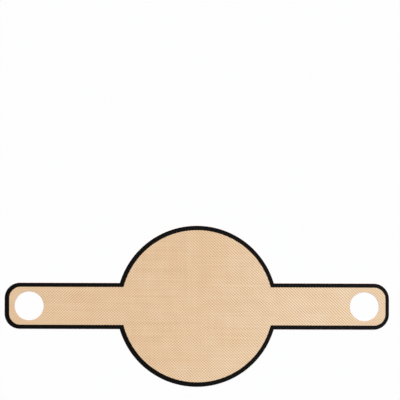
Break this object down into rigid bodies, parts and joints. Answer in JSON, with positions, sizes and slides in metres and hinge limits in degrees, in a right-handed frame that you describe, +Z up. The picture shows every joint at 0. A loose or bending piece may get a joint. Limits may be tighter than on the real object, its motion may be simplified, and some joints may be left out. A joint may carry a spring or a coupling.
{
  "type": "bread sling",
  "caption": "Flat silicone-coated woven cloth sling: a round base that carries a loaf, with a long folding strap handle and finger hole on each side.",
  "frame": {"origin": "centre of the round base on the sheet's lower face", "axes": "+X along the handles, towards the right grip; +Z up out of the food face"},
  "size_m": [0.502, 0.21, 0.0007],
  "materials": {
    "print_silicone": "satin",
    "glass_cloth": "matte",
    "food_silicone": "satin",
    "border_ink": "satin"
  },
  "bodies": {
    "base": {"base_print_skin": "print_silicone", "base_cloth": "glass_cloth", "base_food_skin": "food_silicone", "base_border_back": "border_ink", "base_border_front": "border_ink", "left_base_fold_print_skin": "print_silicone", "left_base_fold_cloth": "glass_cloth", "left_base_fold_food_skin": "food_silicone", "left_base_fold_border_back": "border_ink", "left_base_fold_border_front": "border_ink", "right_base_fold_print_skin": "print_silicone", "right_base_fold_cloth": "glass_cloth", "right_base_fold_food_skin": "food_silicone", "right_base_fold_border_back": "border_ink", "right_base_fold_border_front": "border_ink"},
    "left_handle": {"left_handle_print_skin": "print_silicone", "left_handle_cloth": "glass_cloth", "left_handle_food_skin": "food_silicone", "left_handle_border_back": "border_ink", "left_handle_border_front": "border_ink", "left_rim_fold_print_skin": "print_silicone", "left_rim_fold_cloth": "glass_cloth", "left_rim_fold_food_skin": "food_silicone", "left_rim_fold_border_back": "border_ink", "left_rim_fold_border_front": "border_ink"},
    "left_grip": {"left_grip_print_skin": "print_silicone", "left_grip_cloth": "glass_cloth", "left_grip_food_skin": "food_silicone", "left_grip_border": "border_ink"},
    "right_handle": {"right_handle_print_skin": "print_silicone", "right_handle_cloth": "glass_cloth", "right_handle_food_skin": "food_silicone", "right_handle_border_back": "border_ink", "right_handle_border_front": "border_ink", "right_rim_fold_print_skin": "print_silicone", "right_rim_fold_cloth": "glass_cloth", "right_rim_fold_food_skin": "food_silicone", "right_rim_fold_border_back": "border_ink", "right_rim_fold_border_front": "border_ink"},
    "right_grip": {"right_grip_print_skin": "print_silicone", "right_grip_cloth": "glass_cloth", "right_grip_food_skin": "food_silicone", "right_grip_border": "border_ink"}
  },
  "joints": [
    {"name": "left_base_fold", "type": "hinge", "parent": "base", "child": "left_handle", "pos_m": [-0.10662, 0, 0.00035], "axis": [0, 1, 0], "range_deg": [-90, 120], "stiffness_Nm_per_rad": 0.02, "deforming": ["left_base_fold_print_skin", "left_base_fold_cloth", "left_base_fold_food_skin", "left_base_fold_border_back", "left_base_fold_border_front"]},
    {"name": "left_rim_fold", "type": "hinge", "parent": "left_handle", "child": "left_grip", "pos_m": [-0.188, 0, 0.00035], "axis": [0, 1, 0], "range_deg": [-90, 90], "stiffness_Nm_per_rad": 0.02, "deforming": ["left_rim_fold_print_skin", "left_rim_fold_cloth", "left_rim_fold_food_skin", "left_rim_fold_border_back", "left_rim_fold_border_front"]},
    {"name": "right_base_fold", "type": "hinge", "parent": "base", "child": "right_handle", "pos_m": [0.10662, 0, 0.00035], "axis": [0, -1, 0], "range_deg": [-90, 120], "stiffness_Nm_per_rad": 0.02, "deforming": ["right_base_fold_print_skin", "right_base_fold_cloth", "right_base_fold_food_skin", "right_base_fold_border_back", "right_base_fold_border_front"]},
    {"name": "right_rim_fold", "type": "hinge", "parent": "right_handle", "child": "right_grip", "pos_m": [0.188, 0, 0.00035], "axis": [0, -1, 0], "range_deg": [-90, 90], "stiffness_Nm_per_rad": 0.02, "deforming": ["right_rim_fold_print_skin", "right_rim_fold_cloth", "right_rim_fold_food_skin", "right_rim_fold_border_back", "right_rim_fold_border_front"]}
  ]
}
